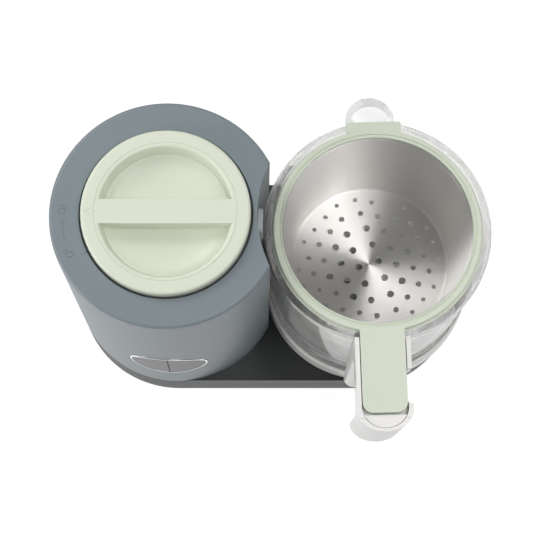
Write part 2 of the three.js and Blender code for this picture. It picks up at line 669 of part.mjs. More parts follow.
function basketRim() {
  const ring = revolve([
    [63.15, 182.7], [63.15, RING_TOP], [64, RING_TOP], [64.6, RING_TOP - 0.9], [65.4, RING_TOP - 0.9],
    [66, RING_TOP], [RING_R - 1, RING_TOP], [RING_R, RING_TOP - 1], [RING_R, 180.4], [SKIRT_R, 180],
    [SKIRT_R, LEDGE_Z + GAP], [64.2, LEDGE_Z + GAP], [64.2, 181.3], [68, 181.3], [68, 182.7],
  ]);
  const frontSide = roundedRect(-TONGUE_HALF, TONGUE_HALF, 50, TONGUE_END, 7);
  const tongue = raise(frontSide, CHANNEL_FLOOR + 3.2, TONGUE_TOP, 5)
    .subtract(bar(78.6, 170, 182, { segments: FACETS.big }))
    .subtract(bar(73.6, TONGUE_TOP - 0.5, 190, { segments: FACETS.big }));
  const tab = raise(roundedRect(-18.5, 18.5, -74.2, -66, 2), 182, RING_TOP, 2);
  const clear = bar(68.2, 170, 190, { segments: FACETS.big });
  const outside = tongue.add(tab).subtract(clear).rotate([0, 0, 180]);
  return bowlPiece(ring.add(outside));
}

// ---------- assembly ----------
const product = new THREE.Group();
product.position.set(-ORIGIN.x, -ORIGIN.y, -ORIGIN.z);

function piece(name, body, material) {
  const mesh = new THREE.Mesh(geometryOf(body), material);
  mesh.name = name;
  product.add(mesh);
}

piece("base_shell", baseShell(), housingGrey);
piece("base_deck", baseDeck(), deckGrey);
piece("bottom_cover", bottomCover(), darkPlastic);
FOOT_AT.forEach(([x, y], i) => piece(`foot_${i + 1}`, foot(x, y), rubber));
SCREW_AT.forEach(([x, y], i) => piece(`base_screw_${i + 1}`, baseScrew(x, y), zincSteel));
piece("cord_gland", cordGland(), rubber);
piece("tower_shell", towerShell(), housingGrey);
piece("button_bezel", buttonBezel(), chrome);
piece("button_left", buttonHalf(-1), buttonGrey);
piece("button_right", buttonHalf(1), buttonGrey);
piece("control_board", controlBoard(), boardGreen);
piece("switch_left", pushSwitch(-1), darkPlastic);
piece("switch_right", pushSwitch(1), darkPlastic);
piece("water_tank", waterTank(), steel);
piece("tank_gasket", tankGasket(), silicone);
piece("tank_neck", tankNeck(), darkPlastic);
piece("cap_seal", capSeal(), rubber);
piece("heater_plate", heaterPlate(), aluminium);
piece("heating_element", heatingElement(), steel);
piece("thermostat", thermostat(), brass);
piece("steam_pipe", steamPipe(), silicone);
piece("steam_outlet", steamOutlet(), silicone);
piece("cap_top", capTop(), capSage);
piece("cap_plug", capPlug(), warmWhite);
piece("cap_gasket", capGasket(), silicone);
piece("motor_bracket", motorBracket(), zincSteel);
piece("motor_can", motorCan(), zincSteel);
piece("motor_shaft", motorShaft(), steel);
piece("motor_pulley", motorPulley(), aluminium);
piece("drive_belt", driveBelt(), rubber);
piece("drive_pulley", drivePulley(), darkPlastic);
piece("drive_spindle", driveSpindle(), steel);
piece("lower_bush", lowerBush(), brass);
piece("upper_bush", upperBush(), brass);
piece("drive_coupler", driveCoupler(), darkPlastic);
piece("bowl_seat", bowlSeat(), deckGrey);
piece("glass_bowl", glassBowl(), glass);
piece("bowl_collar", bowlCollar(), warmWhite);
piece("bowl_seal", bowlSeal(), silicone);
piece("handle_shell", handleShell(), warmWhite);
piece("handle_cover", handleCover(), warmWhite);
piece("blade_hub", bladeHub(), steel);
piece("blade_socket", bladeSocket(), darkPlastic);
piece("blade_lower", blade(64, 33, -2.4, 0), steel);
piece("blade_upper", blade(68.4, 30, 9, 90), steel);
piece("blade_nut", bladeNut(), steel);
piece("basket_cup", basketCup(), steel);
piece("basket_rim", basketRim(), sage);

export default product;
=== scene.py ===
"""Baby food maker: the finished look of each piece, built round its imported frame.

Lengths inside a piece are millimetres, measured from the upright axis that the piece is turned about.
"""

import json
import math

import bpy
from mathutils import Matrix, Vector


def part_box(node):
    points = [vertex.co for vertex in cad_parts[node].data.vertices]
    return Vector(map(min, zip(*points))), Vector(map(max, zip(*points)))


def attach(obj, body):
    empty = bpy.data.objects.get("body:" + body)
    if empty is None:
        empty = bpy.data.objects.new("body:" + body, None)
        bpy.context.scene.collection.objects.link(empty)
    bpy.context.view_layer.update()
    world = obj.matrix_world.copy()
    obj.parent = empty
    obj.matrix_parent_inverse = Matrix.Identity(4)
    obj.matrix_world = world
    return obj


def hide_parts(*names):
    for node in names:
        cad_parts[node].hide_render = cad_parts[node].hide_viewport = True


bl_info = {
    "name": "Baby Food Maker",
    "version": (1, 0, 0),
    "blender": (4, 5, 0),
    "location": "View3D > Sidebar > Food Maker",
    "description": "Builds the casings, bowl, basket, handle and controls of a baby food maker",
    "category": "Add Mesh",
}

MM = 0.001

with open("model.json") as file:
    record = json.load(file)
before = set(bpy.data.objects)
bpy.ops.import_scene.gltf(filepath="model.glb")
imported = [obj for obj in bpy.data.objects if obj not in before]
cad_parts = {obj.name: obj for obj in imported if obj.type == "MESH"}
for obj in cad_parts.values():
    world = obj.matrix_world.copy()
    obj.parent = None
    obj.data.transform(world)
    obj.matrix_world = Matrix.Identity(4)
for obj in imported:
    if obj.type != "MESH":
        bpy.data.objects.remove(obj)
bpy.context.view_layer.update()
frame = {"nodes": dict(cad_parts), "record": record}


# ---------- places and sizes that come from the frame ----------


def middle_of(node):
    low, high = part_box(node)
    return (low + high) / 2


def axis_of(node):
    """The upright axis through the middle of a round node, as a point on the floor."""
    middle = middle_of(node)
    return Vector((middle.x, middle.y, 0))


def half_depth(node):
    """Half of a node's size along Y: the radius of a round one."""
    low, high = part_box(node)
    return (high.y - low.y) / 2


def top_of(node):
    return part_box(node)[1].z


def foot_of(node):
    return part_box(node)[0].z


TOWER = axis_of("cap_seal")
BOWL = axis_of("drive_spindle")
TOWER_RADIUS = half_depth("tower_shell")
CAP_RADIUS = half_depth("cap_top")
RIM_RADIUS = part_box("glass_bowl")[1].x - BOWL.x
COLLAR_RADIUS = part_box("bowl_collar")[1].x - BOWL.x
BASE_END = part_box("base_shell")[1].x - TOWER.x - TOWER_RADIUS
BOWL_TURN = math.radians(1.4)
BUTTON_TURN = math.radians(-3)
SPOUT_TURN = math.radians(1.7)
CAMERA_FROM_TOWER = Vector((0.05886, -0.29276, 1.262))
CAMERA_TILT = math.radians(90 - 76.19)
CAMERA_LENS = 112.73
CAMERA_SHIFT = 0.0222

# An outline's width, height and depth along the machine's axes: the handle seen from the side, and the
# tower's wall seen from the bowl.
SIDE_VIEW = Matrix(((0, 0, -1, 0), (-1, 0, 0, 0), (0, 1, 0, 0), (0, 0, 0, 1)))
BOWL_VIEW = Matrix(((0, 0, 1, 0), (1, 0, 0, 0), (0, 1, 0, 0), (0, 0, 0, 1)))


# ---------- selecting and placing ----------


def deselect():
    if bpy.context.object and bpy.context.object.mode != "OBJECT":
        bpy.ops.object.mode_set(mode="OBJECT")
    bpy.ops.object.select_all(action="DESELECT")


def pick(*objects):
    deselect()
    for obj in objects:
        obj.select_set(True)
    bpy.context.view_layer.objects.active = objects[-1]


def settle(obj, placed=None):
    """Puts the place, turn and scale of an object into its mesh."""
    if placed is not None:
        obj.matrix_world = placed @ obj.matrix_world
    pick(obj)
    bpy.ops.object.transform_apply(location=True, rotation=True, scale=True)
    return obj


def turn_about(centre, angle):
    """A turn about the upright axis through a point."""
    return Matrix.Translation(centre) @ Matrix.Rotation(angle, 4, "Z") @ Matrix.Translation(-centre)


def tidy_mesh(merge=1e-6):
    """Merges what meets and turns every face outwards, in edit mode."""
    bpy.ops.mesh.select_all(action="SELECT")
    bpy.ops.mesh.remove_doubles(threshold=merge)
    bpy.ops.mesh.normals_make_consistent(inside=False)
    bpy.ops.object.mode_set(mode="OBJECT")


# ---------- forms ----------


def draw_line(name, start, points):
    """Starts an object as one vertex and extrudes it from point to point; leaves edit mode on."""
    deselect()
    bpy.ops.mesh.primitive_plane_add(size=MM, location=start)
    obj = bpy.context.object
    obj.name = name
    bpy.ops.object.mode_set(mode="EDIT")
    bpy.ops.mesh.merge(type="CENTER")
    here = Vector(start)
    for point in points:
        bpy.ops.mesh.extrude_region_move(TRANSFORM_OT_translate={"value": Vector(point) - here})
        here = Vector(point)
    return obj


def turned(name, profile, centre, steps=144):
    """A profile of (radius, height) spun about the upright axis through centre."""
    places = [centre + Vector((r, 0, z)) * MM for r, z in profile]
    if profile[0][0] > 0 or profile[-1][0] > 0:
        places.append(places[0])
    obj = draw_line(name, places[0], places[1:])
    bpy.ops.mesh.select_all(action="SELECT")
    bpy.ops.mesh.spin(steps=steps, angle=2 * math.pi, center=centre, axis=(0, 0, 1))
    tidy_mesh()
    return settle(obj)


def slab(name, outline, low, high, placed):
    """An outline of (x, y) raised from low to high, then placed."""
    places = [Vector((x, y, low)) * MM for x, y in outline]
    obj = draw_line(name, places[0], places[1:])
    bpy.ops.mesh.select_all(action="SELECT")
    bpy.ops.mesh.edge_face_add()
    bpy.ops.mesh.extrude_region_move(TRANSFORM_OT_translate={"value": (0, 0, (high - low) * MM)})
    tidy_mesh()
    settle(obj)
    return settle(obj, placed)


def arc(x, y, radius, start, end, steps, flat=1.0):
    """Points of an arc, in degrees; flat squashes it along Y."""
    angles = [math.radians(start + (end - start) * i / steps) for i in range(steps + 1)]
    return [(x + radius * math.cos(a), y + radius * flat * math.sin(a)) for a in angles]


def rounded(x0, x1, y0, y1, r, steps=8):
    """A rectangle with round corners."""
    return (
        arc(x1 - r, y0 + r, r, -90, 0, steps)
        + arc(x1 - r, y1 - r, r, 0, 90, steps)
        + arc(x0 + r, y1 - r, r, 90, 180, steps)
        + arc(x0 + r, y0 + r, r, 180, 270, steps)
    )


def bend(start, corner, end, steps=8):
    """Points of a curve from start to end, pulled towards a corner."""
    a, b, c = Vector(start), Vector(corner), Vector(end)
    shares = [i / steps for i in range(steps + 1)]
    return [tuple(a * (1 - t) ** 2 + b * 2 * t * (1 - t) + c * t**2) for t in shares]


def stroke(points, width):
    """The outline of a line drawn with a pen of this width."""
    line = [Vector(point) for point in points]
    ends = [(line[max(i - 1, 0)], line[min(i + 1, len(line) - 1)]) for i in range(len(line))]
    sides = [(b - a).normalized().orthogonal() * width / 2 for a, b in ends]
    left = [tuple(p + side) for p, side in zip(line, sides)]
    right = [tuple(p - side) for p, side in zip(line, sides)]
    return left + right[::-1]


def stadium(inset, steps=72):
    """The base's plan: the tower's circle, drawn out to the bowl's side."""
    r = TOWER_RADIUS / MM - inset
    return arc(0, 0, r, 90, 270, steps) + arc(BASE_END / MM, 0, r, -90, 90, steps)


def boolean(obj, tool, operation="DIFFERENCE"):
    """Cuts, joins or keeps the common part of two forms; the tool is used up."""
    change = obj.modifiers.new("form", "BOOLEAN")
    change.operation = operation
    change.object = tool
    change.solver = "EXACT"
    pick(obj)
    bpy.ops.object.modifier_apply(modifier=change.name)
    bpy.data.objects.remove(tool, do_unlink=True)
    return obj


def soften(obj, width, segments=3, angle=32):
    """Rounds the edges that are sharper than an angle, as a moulding tool leaves them."""
    edge = obj.modifiers.new("edges", "BEVEL")
    edge.width = width * MM
    edge.segments = segments
    edge.limit_method = "ANGLE"
    edge.angle_limit = math.radians(angle)
    edge.use_clamp_overlap = True
    edge.miter_outer = "MITER_ARC"
    pick(obj)
    bpy.ops.object.modifier_apply(modifier=edge.name)
    return obj


def smooth(obj, angle=35):
    """Smooths the shading between faces that meet at less than an angle, led by the largest faces."""
    pick(obj)
    bpy.ops.object.shade_smooth_by_angle(angle=math.radians(angle))
    even = obj.modifiers.new("even", "WEIGHTED_NORMAL")
    even.keep_sharp = True
    bpy.ops.object.modifier_apply(modifier=even.name)
    return obj


def finish_piece(obj, body, slot, material, *nodes):
    """Gives a piece its material, its body and the nodes that it stands for."""
    obj.data.materials.clear()
    obj.data.materials.append(material)
    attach(obj, body)
    if nodes:
        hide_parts(*nodes)
    return obj


def on_tower():
    return Matrix.Translation(TOWER)


def on_bowl():
    return Matrix.Translation(BOWL) @ Matrix.Rotation(BOWL_TURN, 4, "Z")


# ---------- materials ----------


def colour(code):
    """An sRGB hex code as the linear colour that a shader takes."""
    parts = [int(code[i : i + 2], 16) / 255 for i in (1, 3, 5)]
    linear = [c / 12.92 if c <= 0.04045 else ((c + 0.055) / 1.055) ** 2.4 for c in parts]
    return (*linear, 1.0)


def add_node(tree, kind, inputs=None, **settings):
    """Adds a node with its settings; an input is a value or another node's output."""
    made = tree.nodes.new("ShaderNode" + kind)
    for key, value in settings.items():
        setattr(made, key, value)
    for key, value in (inputs or {}).items():
        if isinstance(value, bpy.types.NodeSocket):
            tree.links.new(value, made.inputs[key])
        else:
            made.inputs[key].default_value = value
    return made


def new_material(name):
    made = bpy.data.materials.new(name)
    made.use_nodes = True
    made.node_tree.nodes.clear()
    return made, made.node_tree


def close_material(tree, shader):
    add_node(tree, "OutputMaterial", {"Surface": shader.outputs[0]})


def per_mm(size):
    """The texture scale that makes one cell of a pattern this many millimetres."""
    return 1 / (size * MM)


def moulded(name, base, shade, roughness, grain, depth, coat=0.0, subsurface=0.0):
    """Injection-moulded plastic: an even colour, a faint cloudiness and the tool's fine grain."""
    made, tree = new_material(name)
    place = add_node(tree, "TexCoord").outputs["Object"]
    cloud = add_node(tree, "TexNoise", {"Vector": place, "Scale": per_mm(45), "Detail": 2.0})
    mix = add_node(
        tree,
        "Mix",
        {"Factor": cloud.outputs["Fac"], "A": colour(base), "B": colour(shade)},
        data_type="RGBA",
    )
    speck = add_node(tree, "TexNoise", {"Vector": place, "Scale": per_mm(grain), "Detail": 3.0})
    low, high = roughness - 0.04, roughness + 0.04
    rough = add_node(tree, "MapRange", {"Value": speck.outputs["Fac"], "To Min": low, "To Max": high})
    bump = add_node(tree, "Bump", {"Height": speck.outputs["Fac"], "Strength": depth, "Distance": 0.05 * MM})
    shader = add_node(
        tree,
        "BsdfPrincipled",
        {
            "Base Color": mix.outputs["Result"],
            "Roughness": rough.outputs["Result"],
            "Normal": bump.outputs["Normal"],
            "IOR": 1.5,
            "Coat Weight": coat,
            "Coat Roughness": 0.12,
            "Subsurface Weight": subsurface,
            "Subsurface Scale": 1.5 * MM,
        },
    )
    close_material(tree, shader)
    return made


def spun_metal(name, base, roughness, anisotropy, line, depth, centre):
    """Metal brushed while it turned: fine rings about an upright axis, which drag light into a fan."""
    made, tree = new_material(name)
    place = add_node(tree, "TexCoord").outputs["Object"]
    local = add_node(tree, "Mapping", {"Vector": place, "Location": -centre}, vector_type="POINT")
    axes = add_node(tree, "SeparateXYZ", {"Vector": local.outputs["Vector"]})
    flat = add_node(tree, "CombineXYZ", {"X": axes.outputs["X"], "Y": axes.outputs["Y"]})
    radius = add_node(tree, "VectorMath", {0: flat.outputs["Vector"]}, operation="LENGTH")
    along = add_node(tree, "Math", {0: axes.outputs["X"], 1: 0.06}, operation="MULTIPLY")
    ring = add_node(
        tree,
        "CombineXYZ",
        {"X": radius.outputs["Value"], "Y": axes.outputs["Z"], "Z": along.outputs["Value"]},
    )
    brush = add_node(
        tree, "TexNoise", {"Vector": ring.outputs["Vector"], "Scale": per_mm(line), "Detail": 4.0}
    )
    rough = add_node(
        tree,
        "MapRange",
        {"Value": brush.outputs["Fac"], "To Min": roughness - 0.07, "To Max": roughness + 0.07},
    )
    bump = add_node(tree, "Bump", {"Height": brush.outputs["Fac"], "Strength": depth, "Distance": 0.03 * MM})
    tangent = add_node(tree, "Tangent", direction_type="RADIAL", axis="Z")
    shader = add_node(
        tree,
        "BsdfPrincipled",
        {
            "Base Color": colour(base),
            "Metallic": 1.0,
            "Roughness": rough.outputs["Result"],
            "Normal": bump.outputs["Normal"],
            "Anisotropic": anisotropy,
            "Anisotropic Rotation": 0.25,
            "Tangent": tangent.outputs["Tangent"],
        },
    )
    close_material(tree, shader)
    return made


def cast_metal(name, base, roughness, grain, depth):
    """Cast, plated or stamped metal: an even sheen broken by a fine grain."""
    made, tree = new_material(name)
    place = add_node(tree, "TexCoord").outputs["Object"]
    speck = add_node(tree, "TexNoise", {"Vector": place, "Scale": per_mm(grain), "Detail": 4.0})
    rough = add_node(
        tree,
        "MapRange",
        {"Value": speck.outputs["Fac"], "To Min": roughness - 0.08, "To Max": roughness + 0.08},
    )
    bump = add_node(tree, "Bump", {"Height": speck.outputs["Fac"], "Strength": depth, "Distance": 0.05 * MM})
    shader = add_node(
        tree,
        "BsdfPrincipled",
        {
            "Base Color": colour(base),
            "Metallic": 1.0,
            "Roughness": rough.outputs["Result"],
            "Normal": bump.outputs["Normal"],
        },
    )
    close_material(tree, shader)
    return made


def pressed_glass(name):
    """Clear pressed glass: bright edges, and a very slight waviness from the mould."""
    made, tree = new_material(name)
    place = add_node(tree, "TexCoord").outputs["Object"]
    wave = add_node(tree, "TexNoise", {"Vector": place, "Scale": per_mm(26), "Detail": 1.0})
    bump = add_node(tree, "Bump", {"Height": wave.outputs["Fac"], "Strength": 0.04, "Distance": 0.4 * MM})
    shader = add_node(
        tree,
        "BsdfPrincipled",
        {
            "Base Color": (1.0, 1.0, 1.0, 1.0),
            "Roughness": 0.0,
            "IOR": 1.45,
            "Transmission Weight": 1.0,
            "Alpha": 0.6,
            "Normal": bump.outputs["Normal"],
        },
    )
    close_material(tree, shader)
    return made


def make_materials(c):
    """Every finish on the machine, by the record's slot; the base's wall has a darker copy of the housing's
    finish, as painted shade.
    """
    return {
        # ABS from a spark-eroded tool: satin, blue-grey, with a grain of about a third of a millimetre.
        "housing": moulded("abs_satin_blue_grey", c.housing, "#79848a", 0.42, 0.35, 0.25),
        # The same ABS as the housing, made darker for the base's wall: painted shade standing in for the
        # dimmer light low down near the floor.
        "base": moulded("abs_satin_base_painted_shade", c.base, "#2c2e2f", 0.5, 0.35, 0.25),
        # ABS from a polished tool: dark, with a soft gloss that picks up the bowl's foot.
        "deck": moulded("abs_gloss_dark_grey", c.deck, "#1c1e1f", 0.3, 0.8, 0.08, coat=0.1),
        # Polypropylene: pale and slightly waxy, with light going a little way in.
        "cap": moulded("polypropylene_pale_sage", c.cap, "#dbe1d0", 0.4, 0.4, 0.15, subsurface=0.06),
        "ring": moulded("polypropylene_sage", c.ring, "#d2d9c8", 0.4, 0.4, 0.15, subsurface=0.06),
        # ABS from a fine-polished tool: warm white, soft gloss.
        "handle": moulded("abs_warm_white", c.handle, "#eae8e5", 0.3, 0.6, 0.08, coat=0.15, subsurface=0.03),
        # Stainless sheet drawn and brushed on the lathe: concentric lines, fan-shaped glints.
        "steel": spun_metal("stainless_spun_brushed", c.steel, 0.42, 1.0, 0.7, 0.1, BOWL),
        "glass": pressed_glass("borosilicate_pressed"),
        # EPDM: black-grey, no gloss, slightly dusty.
        "rubber": moulded("epdm_rubber", "#3b3e40", "#444749", 0.75, 0.5, 0.35),
        # Silicone: translucent grey, soft sheen.
        "silicone": moulded("silicone_grey", c.silicone, "#a2a8ad", 0.5, 0.7, 0.1, subsurface=0.15),
        # Chrome plate over ABS: a mirror with a trace of haze.
        "chrome": cast_metal("chrome_plate", "#f0f0f0", 0.1, 0.6, 0.02),
        "button": moulded("abs_satin_mid_grey", c.button, "#535456", 0.38, 0.35, 0.2),
        # Die-cast aluminium: grainy, dull silver.
        "aluminium": cast_metal("aluminium_die_cast", "#c3c4c3", 0.45, 0.7, 0.4),
        # Sintered bronze and turned brass: warm yellow metal.
        "brass": cast_metal("brass_turned", "#c9a66a", 0.32, 0.4, 0.2),
        # Glass-epoxy board under green solder mask: smooth with a faint weave.
        "board": moulded("solder_mask_green", "#23553a", "#1f4d34", 0.3, 0.9, 0.2, coat=0.4),
        # Glass-filled nylon: black, flecked by its fibres.
        "inner": moulded("nylon_glass_filled", "#2b2d2e", "#343637", 0.55, 0.6, 0.4),
        # Zinc-plated steel sheet: pale grey with a crystalline bloom.
        "zinc": cast_metal("steel_zinc_plated", "#b9bcc0", 0.36, 1.6, 0.15),
    }


MATERIALS = {}


# ---------- settings ----------


def length(label, words, value):
    return bpy.props.FloatProperty(
        name=label, description=words, default=value, unit="LENGTH", subtype="DISTANCE", precision=4
    )


def tint(label, words, value):
    return bpy.props.StringProperty(name=label, description=words, default=value, maxlen=7)


class FoodMakerSizes(bpy.types.PropertyGroup):
    tower_radius: length("Tower radius", "Outside radius of the tower", TOWER_RADIUS)
    tower_edge: length("Tower edge", "Rounding of the tower's top edge", 2.4 * MM)
    scallop_radius: length("Scallop radius", "Hollow in the tower that clears the bowl", 79.5 * MM)
    cap_radius: length("Cap radius", "Outside radius of the tank cap", CAP_RADIUS)
    cap_hole: length("Cap opening", "Radius of the opening round the cap", 55.7 * MM)
    rim_radius: length("Bowl rim radius", "Outside radius of the bowl's rim", RIM_RADIUS)
    collar_radius: length("Collar radius", "Outside radius of the bowl's collar", COLLAR_RADIUS)
    spout_radius: length("Spout radius", "Outside radius of the pouring spout", 16.6 * MM)
    throat_radius: length("Throat radius", "Inside radius of the pouring spout", 14.2 * MM)
    basket_radius: length("Basket radius", "Inside radius of the basket at its rim", 62.5 * MM)
    basket_floor: length("Basket floor radius", "Inside radius of the basket at its floor", 57.5 * MM)
    hole_pitch: length("Hole pitch", "Distance between neighbouring basket holes", 13 * MM)
    handle_half: length("Handle half width", "Half the width of the bowl's handle", 18.2 * MM)
    handle_end: length("Handle reach", "Distance from the bowl's axis to the handle's front", 134.4 * MM)
    handle_nose: length("Handle nose", "Depth of the handle's oval end", 13.4 * MM)
    tongue_half: length("Tongue half width", "Half the width of the basket's tongue", 14.6 * MM)
    button_width: length("Control half width", "Half the width of the control, along the wall", 25.6 * MM)
    button_height: length("Control half height", "Half the height of the control", 21.6 * MM)


class FoodMakerColours(bpy.types.PropertyGroup):
    housing: tint("Housing", "Colour of the tower, as an sRGB code", "#7f8a8f")
    # The base's wall is the housing's plastic: this darker colour is painted shade.
    base: tint("Base wall", "Colour of the base's wall, as an sRGB code", "#2f3132")
    deck: tint("Deck", "Colour of the base's top, as an sRGB code", "#232526")
    cap: tint("Cap", "Colour of the tank cap, as an sRGB code", "#dfe4d3")
    ring: tint("Basket rim", "Colour of the basket's rim, as an sRGB code", "#d9dfcf")
    handle: tint("Handle", "Colour of the handle and collar, as an sRGB code", "#efeeec")
    steel: tint("Steel", "Colour of the stainless basket, as an sRGB code", "#e6e4e1")
    silicone: tint("Silicone", "Colour of the steam outlet, as an sRGB code", "#b9bdc0")
    button: tint("Control", "Colour of the control, as an sRGB code", "#58595b")


# ---------- pieces ----------


class PieceOperator:
    """What every piece's operator shares."""

    bl_options = {"REGISTER", "UNDO"}

    @property
    def s(self):
        return bpy.context.scene.food_maker_sizes


def cylinder(radius, low, high, centre, steps=144):
    return turned("tool", [(0, low), (radius, low), (radius, high), (0, high)], centre, steps)


def control_place():
    """The control's height on the tower's axis, facing out through the tower's front."""
    facing = Matrix.Rotation(BUTTON_TURN, 4, "Z") @ Matrix.Rotation(math.radians(90), 4, "X")
    return Matrix.Translation(TOWER + Vector((0, 0, middle_of("button_bezel").z))) @ facing


def on_front(outline, inner, outer):
    """Raises an outline drawn on the tower's front from one radius to another."""
    block = slab("front_form", outline, inner - 12, outer + 3, control_place())
    height = middle_of("button_bezel").z / MM
    reach = bpy.context.scene.food_maker_sizes.button_height / MM + 8
    low, high = height - reach, height + reach
    shell = turned("tool", [(inner, low), (outer, low), (outer, high), (inner, high)], TOWER, 288)
    return boolean(block, shell, "INTERSECT")


def oval(grow, steps=96):
    """The control's outline, grown all round."""
    s = bpy.context.scene.food_maker_sizes
    width, height = s.button_width / MM + grow, s.button_height / MM + grow
    return arc(0, 0, width, 0, 360 - 360 / steps, steps - 1, flat=height / width)


class FOODMAKER_OT_tower(PieceOperator, bpy.types.Operator):
    """Turns the tower, hollows it and cuts the bowl's scallop, the cap's opening and the control's window"""

    bl_idname = "foodmaker.tower"
    bl_label = "Tower Housing"

    def execute(self, context):
        r, edge = self.s.tower_radius / MM, self.s.tower_edge / MM
        low, top = foot_of("tower_shell") / MM, top_of("tower_shell") / MM
        hole, hollow = self.s.cap_hole / MM, self.s.scallop_radius / MM
        wall, roof, lip, recess, neck = 2.6, 3, 0.7, 205, 209
        line = [
            (0, low), (r - 0.4, low), (r, low + 0.4), *arc(r - edge, top - edge, edge, 0, 90, 8),
            *arc(hole + lip, top - lip, lip, 90, 180, 4), (hole, recess), (0, recess),
        ]
        tower = turned("tower_housing", line, TOWER, 288)
        boolean(tower, cylinder(hollow, 0, 240, BOWL, 288))
        inside, under, throat = r - wall, top - roof, hole + 2.5
        room_line = [(0, 0), (inside, 0), (inside, under), (throat, under), (throat, neck), (0, neck)]
        room = turned("tool", room_line, TOWER, 180)
        boolean(room, cylinder(hollow + 2.8, -2, 242, BOWL, 180))
        boolean(tower, room)
        boolean(tower, on_front(oval(1.9), 60, 82))
        pipe = Matrix.Translation((TOWER.x, TOWER.y, middle_of("steam_pipe").z))
        across = pipe @ Matrix.Rotation(math.pi / 2, 4, "Y")
        boolean(tower, slab("tool", arc(0, 0, 4.4, 0, 345, 23), 45, 70, across))
        for tool in self.marks(top):
            boolean(tower, tool)
        smooth(tower)
        finish_piece(tower, "machine", "housing", MATERIALS["housing"], "tower_shell")
        return {"FINISHED"}

    def marks(self, top):
        """Cutters for the moulded marks: a shut lock, an arrow, an open lock and the cap's end line."""
        radius, pen = 66.3, 0.5
        floor, above = top - 0.25, top + 1
        track = arc(0, 0, radius, 184, 196, 12)
        head = [(-66.6, -7.4), (-65.9, -4.6), (-64.4, -6.9)]
        tick = [(-53.4, -27.3), (-50.1, -25.4)]
        tools = [slab("tool", stroke(line, pen), floor, above, on_tower()) for line in (track, head, tick)]
        for angle, lift in ((178, 0), (203.5, 1.6)):
            out = Matrix.Translation(Vector((radius, 0, 0)) * MM)
            place = on_tower() @ Matrix.Rotation(math.radians(angle), 4, "Z") @ out
            body = slab("tool", rounded(-2.3, 2.3, -1, 2.4, 0.6, 3), floor, above, place)
            inside = slab("tool", rounded(-1.8, 1.8, -0.5, 1.9, 0.3, 3), top - 2, top + 3, place)
            bow = [(lift - 1.4, -1.2), *arc(lift, -1.8, 1.4, 180, 360, 8), (lift + 1.4, -1.2)]
            tools += [boolean(body, inside), slab("tool", stroke(bow, pen), floor, above, place)]
        return tools


class FOODMAKER_OT_controls(PieceOperator, bpy.types.Operator):
    """Bends the bright rim and the two halves of the control round the tower"""

    bl_idname = "foodmaker.controls"
    bl_label = "Control"

    def execute(self, context):
        r = self.s.tower_radius / MM
        rim = on_front(oval(1.6), r - 3.4, r + 0.35)
        boolean(rim, on_front(oval(0.5), r - 14, r + 6))
        rim.name = "control_rim"
        soften(rim, 0.25, 2)
        smooth(rim)
        finish_piece(rim, "machine", "chrome", MATERIALS["chrome"], "button_bezel")
        for side, body, node in ((-1, "left_button", "button_left"), (1, "right_button", "button_right")):
            half = on_front(oval(0), r - 5.6, r + 0.2)
            corner = rounded(0.25, 60, -60, 60, 0.2, 1)
            keep = slab("tool", corner if side > 0 else [(-x, y) for x, y in corner], 0, 90, control_place())
            boolean(half, keep, "INTERSECT")
            half.name = body + "_face"
            soften(half, 0.35, 2)
            smooth(half)
            finish_piece(half, body, "button", MATERIALS["button"], node)
        return {"FINISHED"}


class FOODMAKER_OT_cap(PieceOperator, bpy.types.Operator):
    """Turns the tank cap's dish and rim and sets the grip bar across it"""

    bl_idname = "foodmaker.cap"
    bl_label = "Tank Cap"

    def execute(self, context):
        r, top = self.s.cap_radius / MM, top_of("cap_top") / MM
        cap = turned(
            "tank_cap_top",
            [
                (0, 214.6), (16, 214.65), (28, 214.95), (34, 215.7), (37.6, 217), (39, 218.2), (40.5, 218.7),
                (41, 219.6), (42.4, 225.6), (42.9, top - 0.8), (43.5, top - 0.2), (44.2, top),
                (45.4, top), (45.55, top - 0.35), (45.85, top - 0.35), (46, top), (52.4, top),
                *arc(r - 2, top - 2, 2, 90, 0, 5)[1:], (r, 220.1), (r - 0.5, 219.6),
                (52, 219.6), (52, 225.6), (45.8, 225.6), (44, 219.2), (39.5, 214.2), (31, 212.6), (0, 212.4),
            ],
            TOWER,
            216,
        )
        bar = slab("tool", rounded(-45, 45, -8, 8, 0.5, 3), 214, top, on_tower())
        boolean(bar, cylinder(44.4, 200, 240, TOWER, 216), "INTERSECT")
        boolean(cap, bar, "UNION")
        soften(cap, 0.5, 3, angle=38)
        pointer = stroke([(-46.8, 2.2), (-52, -0.2), (-46.8, -2.6)], 0.45)
        boolean(cap, slab("tool", pointer, top - 0.25, top + 1, on_tower()))
        smooth(cap)
        finish_piece(cap, "tank_cap", "cap", MATERIALS["cap"], "cap_top")
        return {"FINISHED"}


